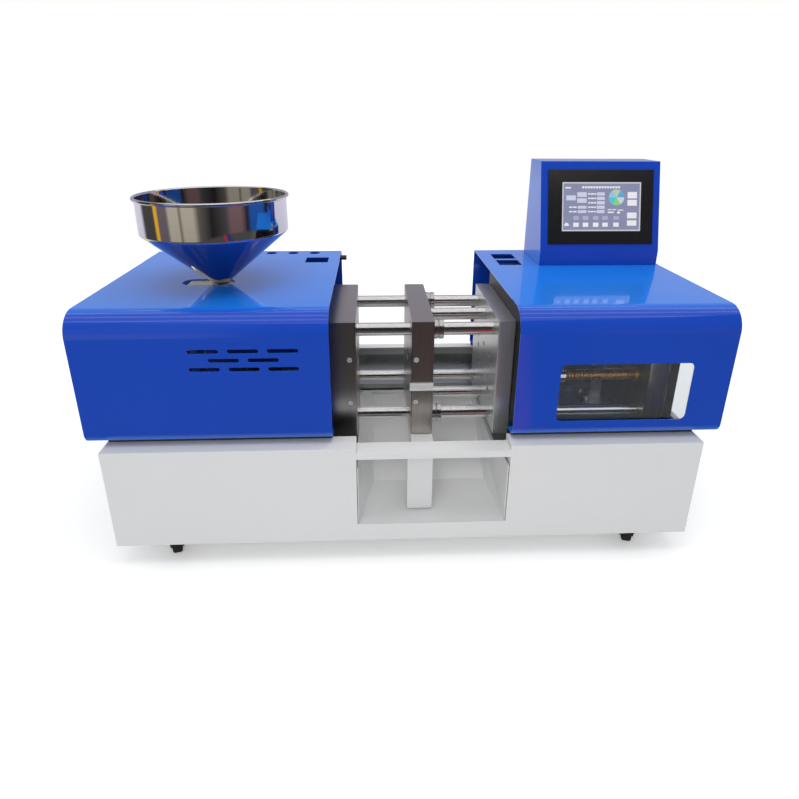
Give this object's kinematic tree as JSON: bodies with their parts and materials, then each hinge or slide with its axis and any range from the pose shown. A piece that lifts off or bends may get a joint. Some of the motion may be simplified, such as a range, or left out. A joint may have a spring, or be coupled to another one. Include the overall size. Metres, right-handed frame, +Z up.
{
  "type": "desktop injection moulding machine",
  "caption": "Desktop electric injection moulding machine: white cabinet on castors, blue covers, tie-bar clamp, steel hopper and a touch panel on the right cover.",
  "frame": {"origin": "middle of the bounding box's base, on the floor under the castors", "axes": "+X to the machine's right (from the hopper to the touch panel), +Y from the operator's front to the back, +Z up"},
  "size_m": [1.0176, 0.465, 0.6265],
  "materials": {
    "cabinet_white": "semi-gloss powder coat",
    "cover_blue": "glossy paint",
    "ground_steel": "ground",
    "platen_steel": "dark ground tool steel",
    "rolled_steel": "zinc plated",
    "hard_chrome": "polished",
    "bright_screw": "bright zinc",
    "bronze": "machined",
    "screw_gold": "chromated",
    "stainless": "mirror polished",
    "aluminium": "machined",
    "motor_dark": "satin",
    "pale_plastic": "matt",
    "black_plastic": "fine texture",
    "display_glass": "smooth",
    "window_clear": "clear",
    "rubber": "matt",
    "tyre": "matt"
  },
  "bodies": {
    "machine": {"base_cabinet": "cabinet_white", "bed_plate": "rolled_steel", "cover_strips": "rubber", "drop_chute": "cabinet_white", "electrics": "motor_dark", "power_inlet": "black_plastic", "left_cover": "cover_blue", "right_cover": "cover_blue", "window_pane": "window_clear", "hmi_box": "cover_blue", "hmi_bezel": "black_plastic", "hmi_screen": "display_glass", "fixed_platen": "platen_steel", "sprue_bush": "bright_screw", "support_plate": "ground_steel", "guard_sheets": "motor_dark", "rear_plate": "platen_steel", "tie_bars": "hard_chrome", "tie_bar_nuts": "bright_screw", "platen_screws": "bright_screw", "motor_bracket": "rolled_steel", "clamp_motor": "motor_dark", "timing_belt": "rubber", "slide_rails": "ground_steel", "castor_plates": "rolled_steel"},
    "clamp": {"moving_platen": "platen_steel", "moving_platen_screws": "bright_screw", "guide_bushes": "hard_chrome", "position_flag": "ground_steel", "push_rods": "hard_chrome", "crosshead": "platen_steel", "ball_nuts": "bright_screw"},
    "drive_screw_front": {"drive_screw_front": "screw_gold"},
    "drive_screw_rear": {"drive_screw_rear": "screw_gold"},
    "motor_pulley": {"motor_pulley": "bright_screw"},
    "carriage": {"carriage_plate": "aluminium", "slot_shield": "pale_plastic", "feed_block": "aluminium", "barrel": "bright_screw", "heater_bands": "bright_screw", "nozzle": "bronze", "hopper": "stainless", "hopper_neck": "bright_screw", "injection_motor": "motor_dark", "guide_rods": "hard_chrome", "injection_end_plate": "aluminium"},
    "gate": {"shutoff_gate": "bright_screw"},
    "injection": {"drive_plate": "aluminium", "plasticising_motor": "motor_dark", "injection_nut": "bright_screw"},
    "plasticising_screw": {"plasticising_screw": "hard_chrome"},
    "injection_screw": {"injection_ball_screw": "hard_chrome"},
    "castor_fork_fl": {"castor_fork_fl": "rolled_steel"},
    "castor_wheel_fl": {"castor_wheel_fl": "tyre"},
    "castor_fork_fr": {"castor_fork_fr": "rolled_steel"},
    "castor_wheel_fr": {"castor_wheel_fr": "tyre"},
    "castor_fork_rl": {"castor_fork_rl": "rolled_steel"},
    "castor_wheel_rl": {"castor_wheel_rl": "tyre"},
    "castor_fork_rr": {"castor_fork_rr": "rolled_steel"},
    "castor_wheel_rr": {"castor_wheel_rr": "tyre"}
  },
  "joints": [
    {"name": "clamp_slide", "type": "slide", "parent": "machine", "child": "clamp", "axis": [1, 0, 0], "range_m": [-0.05, 0.06]},
    {"name": "drive_screw_front_spin", "type": "hinge", "parent": "machine", "child": "drive_screw_front", "pos_m": [0.39625, -0.1015, 0.281], "axis": [1, 0, 0], "range_deg": [-900, 1080]},
    {"name": "drive_screw_rear_spin", "type": "hinge", "parent": "machine", "child": "drive_screw_rear", "pos_m": [0.39625, 0.0425, 0.281], "axis": [1, 0, 0], "range_deg": [-900, 1080]},
    {"name": "clamp_motor_spin", "type": "hinge", "parent": "machine", "child": "motor_pulley", "pos_m": [0.45125, -0.0295, 0.262], "axis": [1, 0, 0], "range_deg": [-1238, 1486]},
    {"name": "carriage_slide", "type": "slide", "parent": "machine", "child": "carriage", "axis": [1, 0, 0], "range_m": [-0.036, 0]},
    {"name": "gate_slide", "type": "slide", "parent": "carriage", "child": "gate", "axis": [0, -1, 0], "range_m": [0, 0.03]},
    {"name": "injection_slide", "type": "slide", "parent": "carriage", "child": "injection", "axis": [1, 0, 0], "range_m": [-0.035, 0]},
    {"name": "injection_screw_spin", "type": "hinge", "parent": "carriage", "child": "injection_screw", "pos_m": [-0.40375, -0.0295, 0.247], "axis": [1, 0, 0], "range_deg": [-1261, 1]},
    {"name": "plasticising_spin", "type": "hinge", "parent": "injection", "child": "plasticising_screw", "pos_m": [-0.30375, -0.0295, 0.295], "axis": [1, 0, 0], "continuous": true},
    {"name": "castor_fl_swivel", "type": "hinge", "parent": "machine", "child": "castor_fork_fl", "pos_m": [-0.39675, -0.2065, 0.032], "axis": [0, 0, 1], "continuous": true},
    {"name": "castor_fl_roll", "type": "hinge", "parent": "castor_fork_fl", "child": "castor_wheel_fl", "pos_m": [-0.39882, -0.19877, 0.014], "axis": [-0.9659, -0.2588, 0], "continuous": true},
    {"name": "castor_fr_swivel", "type": "hinge", "parent": "machine", "child": "castor_fork_fr", "pos_m": [0.38925, -0.2065, 0.032], "axis": [0, 0, 1], "continuous": true},
    {"name": "castor_fr_roll", "type": "hinge", "parent": "castor_fork_fr", "child": "castor_wheel_fr", "pos_m": [0.39132, -0.19877, 0.014], "axis": [-0.9659, 0.2588, 0], "continuous": true},
    {"name": "castor_rl_swivel", "type": "hinge", "parent": "machine", "child": "castor_fork_rl", "pos_m": [-0.39675, 0.2065, 0.032], "axis": [0, 0, 1], "continuous": true},
    {"name": "castor_rl_roll", "type": "hinge", "parent": "castor_fork_rl", "child": "castor_wheel_rl", "pos_m": [-0.40475, 0.2065, 0.014], "axis": [0, -1, 0], "continuous": true},
    {"name": "castor_rr_swivel", "type": "hinge", "parent": "machine", "child": "castor_fork_rr", "pos_m": [0.38925, 0.2065, 0.032], "axis": [0, 0, 1], "continuous": true},
    {"name": "castor_rr_roll", "type": "hinge", "parent": "castor_fork_rr", "child": "castor_wheel_rr", "pos_m": [0.38925, 0.2145, 0.014], "axis": [-1, 0, 0], "continuous": true}
  ],
  "couplings": [
    {"joint": "drive_screw_front_spin", "follows": "clamp_slide", "rad_per_m": 314.16},
    {"joint": "drive_screw_rear_spin", "follows": "clamp_slide", "rad_per_m": 314.16},
    {"joint": "clamp_motor_spin", "follows": "clamp_slide", "rad_per_m": 431.97},
    {"joint": "injection_screw_spin", "follows": "injection_slide", "rad_per_m": 628.32}
  ]
}
